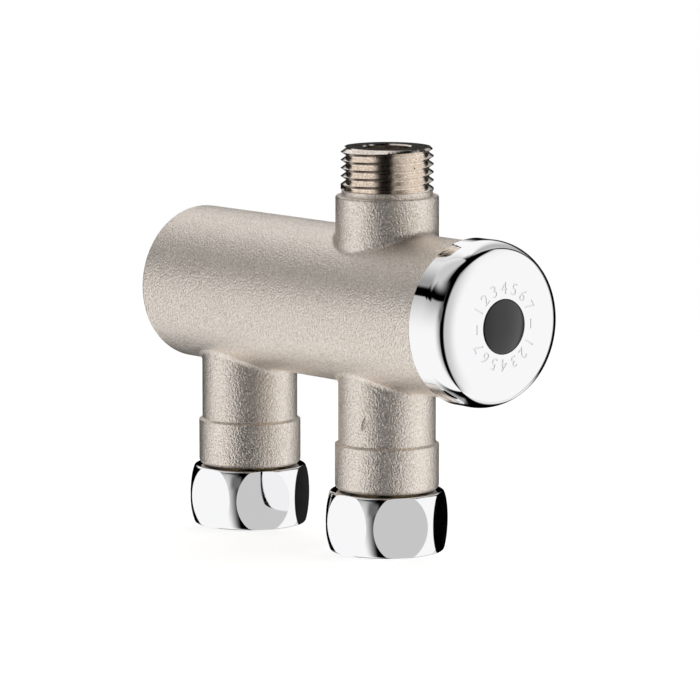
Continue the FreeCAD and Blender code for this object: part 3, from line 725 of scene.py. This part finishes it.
knobPiece = makeKnob()
cutTeeth(knobPiece)
addLug(knobPiece)
cutMarks(knobPiece)
smoothBelow(knobPiece, knob["sharp"])
finishPiece(knobPiece, "knob", "chrome_plate", "control_knob")
print("knob", len(knobPiece.data.polygons), "faces")


# plug: a low glossy dome in the knob's recess

plug = {
    "crown": 0.4, "steps": 12, "edgeRound": 0.3, "edgeSteps": 4, "hollowRadius": 4.6, "hollow": 0.8,
    "sides": 128, "sharp": 40.0,
}


def makePlug():
    low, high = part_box("knob_plug")
    radius = (high.z - low.z) / 2 / mm
    front, rear = low.y / mm + plug["crown"], high.y / mm
    dome = cylinder("plug", radius, front, rear, plug["sides"], "Y")
    pickFaces(dome, lambda centre, normal: normal.y < -0.9)
    step = radius / (plug["steps"] + 1)
    rise = 0.0
    for k in range(plug["steps"]):
        share = (k + 1) / (plug["steps"] + 1)
        target = plug["crown"] * (1 - (1 - share) ** 2)
        inset(step, target - rise)
        rise = target
    bpy.ops.mesh.poke()
    pickEdges(dome, ringAt(front, radius))
    bevelPicked(plug["edgeRound"], plug["edgeSteps"])
    pickFaces(dome, lambda centre, normal: normal.y > 0.9)
    inset(radius - plug["hollowRadius"])
    extrude(y=-plug["hollow"])
    bpy.ops.object.mode_set(mode="OBJECT")
    return dome


plugPiece = makePlug()
smoothBelow(plugPiece, plug["sharp"])
finishPiece(plugPiece, "knob", "black_plug", "knob_plug")
print("plug", len(plugPiece.data.polygons), "faces")


# union nuts: hexagons turned to a barrel form, with their inner thread

nut = {
    "flats": 25.2, "height": 13.7, "cornerCut": 0.45, "endMargin": 0.3, "endRound": 0.45, "steps": 24,
    "roundSteps": 5, "sides": 360, "threadRadius": 10.6, "threadLength": 6.8, "threadStart": 1.6,
    "threadTurns": 3, "relief": 0.3, "overlap": 0.1, "shoulder": 2.8, "holeRadius": 8.4, "sharp": 30.0,
    "coldTurn": 33.0, "hotTurn": 34.0,
}


def barrelForm(name, y):
    # the turned outer form, widest at half height and rounded at both ends, built up ring by ring
    height = nut["height"]
    endRound = nut["endRound"]
    middleRadius = nut["flats"] / math.sqrt(3) - nut["cornerCut"]
    drop = middleRadius - nut["flats"] / 2 - nut["endMargin"]
    arcRadius = (height * height / 4 + drop * drop) / (2 * drop)

    def radiusAt(z):
        away = z - height / 2
        full = middleRadius - arcRadius + math.sqrt(arcRadius * arcRadius - away * away)
        left = endRound - min(z, height - z)
        if left <= 0:
            return full
        return full - endRound + math.sqrt(max(endRound * endRound - left * left, 0))

    quarter = [math.radians(90 * k / nut["roundSteps"]) for k in range(nut["roundSteps"] + 1)]
    levels = [endRound * (1 - math.cos(a)) for a in quarter]
    step = (height - 2 * endRound) / nut["steps"]
    levels += [endRound + step * k for k in range(1, nut["steps"])]
    levels += [height - endRound + endRound * math.sin(a) for a in quarter]
    form = cylinder(name, radiusAt(0), 0, levels[1], nut["sides"], y=y)
    pickFaces(form, lambda centre, normal: normal.z > 0.9)
    for k in range(1, len(levels)):
        if k > 1:
            extrude(z=levels[k] - levels[k - 1])
        share = radiusAt(levels[k]) / radiusAt(levels[k - 1])
        bpy.ops.transform.resize(value=(share, share, 1), center_override=(0, y * mm, 0))
    bpy.ops.object.mode_set(mode="OBJECT")
    return form


def cutFlats(piece, y, turn):
    prism = cylinder("hexagon", nut["flats"] / math.sqrt(3), -past, nut["height"] + past, 6)
    prism.rotation_euler = (0, 0, math.radians(turn - 90))
    prism.location = (0, y * mm, 0)
    settle(prism)
    combine(piece, prism, "INTERSECT")


def makeNut(name, y, turn):
    piece = barrelForm(name, y)
    cutFlats(piece, y, turn)
    turnNormalsOut(piece)
    radius, length = nut["threadRadius"], nut["threadLength"]
    bores = [
        (nut["holeRadius"], -past, nut["height"] + past),
        (radius + nut["relief"], length, nut["height"] - nut["shoulder"]),
        (radius, -past, length + nut["overlap"]),
    ]
    for bore in bores:
        combine(piece, cylinder("bore", *bore, nut["sides"], y=y), "DIFFERENCE")
    piece.data.materials.clear()
    piece.data.materials.append(finishes["chrome_plate"])
    ridge = threadRidge("inner thread", radius, nut["threadStart"], nut["threadTurns"], y)
    ridge.data.materials.append(finishes["chrome_plate"])
    joinTo(piece, [ridge])
    smoothBelow(piece, nut["sharp"], weighted=False)

    def onFlat(centre, normal):
        out = centre.x * normal.x + (centre.y - y) * normal.y
        return abs(normal.z) < 0.02 and abs(out - nut["flats"] / 2) < near

    pickFaces(piece, onFlat)
    bpy.ops.mesh.faces_shade_flat()
    bpy.ops.object.mode_set(mode="OBJECT")
    return piece


nutPieces = []
for side, turn in (("cold", nut["coldTurn"]), ("hot", nut["hotTurn"])):
    nutLow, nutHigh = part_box(side + "_union_nut")
    nutPiece = makeNut(side + "_nut", (nutLow.y + nutHigh.y) / 2 / mm, turn)
    finishPiece(nutPiece, side + "_nut", "chrome_plate", side + "_union_nut")
    nutPieces.append(nutPiece)
print("nuts", [len(p.data.polygons) for p in nutPieces], "faces")


# studio: soft white walls and ceilings round the object, with dark gaps between them and round the
# camera, which stands at azimuth 229. A panel's four azimuths, and its four elevations, say where it
# starts, is full, stops being full and ends, in degrees. A later panel covers the earlier ones
studio = {
    "panels": [
        {"az": (76, 90, 180, 209), "el": (-91, -90, -12, 60), "level": 1.0},  # left wall
        {"az": (188, 198, 209, 215), "el": (2, 12, 18, 26), "level": 0.15},  # left wall, near top
        {"az": (36, 42, 106, 116), "el": (-30, -22, 14, 22), "level": 0.0},  # left corner
        {"az": (30, 38, 104, 118), "el": (-91, -90, -70, -44), "level": 0.0},  # left foot
        {"az": (50, 58, 84, 98), "el": (-74, -64, -50, -38), "level": 0.4},  # left foot, light patch
        {"az": (40, 46, 60, 66), "el": (-20, -12, -4, 3), "level": 0.8},  # left gap
        {"az": (84, 92, 150, 200), "el": (32, 44, 86, 90), "level": 0.62},  # ceiling
        {"az": (14, 44, 66, 120), "el": (12, 24, 72, 86), "level": 1.0},  # ceiling light
        {"az": (96, 112, 132, 142), "el": (22.5, 23.5, 29, 32), "level": 0.0},  # left rail
        {"az": (118, 126, 150, 160), "el": (24.5, 26.5, 32, 37), "level": 0.0},  # left rail, middle
        {"az": (134, 144, 196, 206), "el": (28, 31, 36, 50), "level": 0.0},  # left rail, near end
        {"az": (6, 14, 16, 42), "el": (14, 22, 72, 82), "level": 0.55},  # right ceiling
        {"az": (17.8, 19.5, 26, 32), "el": (-22, -16, 0, 8), "level": 0.08},  # dim opening
        {"az": (238, 257, 346, 357), "el": (-91, -90, 15, 100), "level": 0.60},  # right wall, near edge
        {"az": (256, 300, 346, 357), "el": (-91, -90, 15, 110), "level": 1.0},  # right wall
        {"az": (350, 357, 361, 362), "el": (-91, -90, -30, -22), "level": 0.90},  # right foot
        {"az": (-2, -1, 28, 36), "el": (-91, -90, -30, -22), "level": 0.90},  # right foot, far side
        {"az": (180, 188, 361, 362), "el": (50, 60, 91, 92), "level": 0.0},  # top flag
    ],
}


def addStudio():
    world = bpy.data.worlds.new("studio")
    bpy.context.scene.world = world
    world.use_nodes = True
    tree = world.node_tree
    tree.nodes.clear()
    way = addNode(tree, "ShaderNodeTexCoord").outputs["Generated"]
    parts = addNode(tree, "ShaderNodeSeparateXYZ", None, {"Vector": way})
    azimuth = mathNode(tree, "ARCTAN2", parts.outputs["Y"], parts.outputs["X"])
    azimuth = mathNode(tree, "ADD", mathNode(tree, "DEGREES", azimuth), 360.0)
    azimuth = mathNode(tree, "MODULO", azimuth, 360.0)
    elevation = mathNode(tree, "DEGREES", mathNode(tree, "ARCSINE", parts.outputs["Z"]))

    def within(value, start, full, falling, end):
        rise = spread(tree, value, start, full, 0.0, 1.0, "SMOOTHSTEP")
        fall = spread(tree, value, falling, end, 1.0, 0.0, "SMOOTHSTEP")
        return mathNode(tree, "MULTIPLY", rise, fall)

    level = 0.0
    for panel in studio["panels"]:
        mask = mathNode(tree, "MULTIPLY", within(azimuth, *panel["az"]), within(elevation, *panel["el"]))
        made = addNode(tree, "ShaderNodeMix", {"data_type": "FLOAT"}, {0: mask, 2: level})
        made.inputs[3].default_value = panel["level"]
        level = made.outputs[0]
    seen = addNode(tree, "ShaderNodeLightPath").outputs["Is Camera Ray"]
    shown = addNode(tree, "ShaderNodeMix", {"data_type": "FLOAT"}, {0: seen, 2: level})
    shown.inputs[3].default_value = 1.0
    background = addNode(tree, "ShaderNodeBackground", None, {
        "Color": (1, 1, 1, 1), "Strength": shown.outputs[0]})
    output = addNode(tree, "ShaderNodeOutputWorld")
    tree.links.new(background.outputs[0], output.inputs["Surface"])


# floor: it shows the object's shadow near by and fades to plain white further off
floor = {"radius": 700.0, "sides": 96, "color": 0.98, "lift": 0.64, "fadeFrom": 150.0, "fadeTo": 420.0}


def addFloor():
    bpy.ops.mesh.primitive_circle_add(
        vertices=floor["sides"], radius=floor["radius"] * mm, fill_type="NGON")
    ground = bpy.context.object
    ground.name = "floor"
    material = newMaterial("floor")
    tree = material.node_tree
    paint = addNode(tree, "ShaderNodeBsdfDiffuse", None, {"Color": (floor["color"],) * 3 + (1,)})
    seen = addNode(tree, "ShaderNodeLightPath").outputs["Is Camera Ray"]
    lift = addNode(tree, "ShaderNodeEmission", None, {
        "Color": (1, 1, 1, 1), "Strength": mathNode(tree, "MULTIPLY", seen, floor["lift"])})
    lit = addNode(tree, "ShaderNodeAddShader", None, {0: paint.outputs[0], 1: lift.outputs[0]})
    plain = addNode(tree, "ShaderNodeEmission", None, {"Strength": 1.0})
    place = addNode(tree, "ShaderNodeTexCoord").outputs["Object"]
    away = vectorNode(tree, "LENGTH", {0: place}).outputs["Value"]
    fade = spread(tree, away, floor["fadeFrom"] * mm, floor["fadeTo"] * mm, 0.0, 1.0)
    both = addNode(tree, "ShaderNodeMixShader", None, {0: fade, 1: lit.outputs[0], 2: plain.outputs[0]})
    output = addNode(tree, "ShaderNodeOutputMaterial")
    tree.links.new(both.outputs[0], output.inputs["Surface"])
    ground.data.materials.append(material)
    ground.visible_glossy = False
    ground.visible_shadow = False


# the photo's camera
photoView = {
    "azimuth": -40.8, "elevation": 8.14, "distance": 1214.0, "lens": 275.2,
    "target": (0, 10, 55), "right": -1.82, "up": -10.36, "clip": (0.05, 20),
}


def addCamera():
    a, e = math.radians(photoView["azimuth"]), math.radians(photoView["elevation"])
    back = Vector((math.sin(a) * math.cos(e), -math.cos(a) * math.cos(e), math.sin(e)))
    right = Vector((math.cos(a), math.sin(a), 0))
    up = back.cross(right)
    target = Vector(photoView["target"]) + right * photoView["right"] + up * photoView["up"]
    place = (target + back * photoView["distance"]) * mm
    bpy.ops.object.camera_add(location=place, rotation=(math.radians(90) - e, 0, a))
    camera = bpy.context.object
    camera.data.lens = photoView["lens"]
    camera.data.clip_start, camera.data.clip_end = photoView["clip"]
    bpy.context.scene.camera = camera


addStudio()
addFloor()
addCamera()
bpy.context.scene.view_settings.view_transform = "Standard"
print("studio, floor and camera ready")
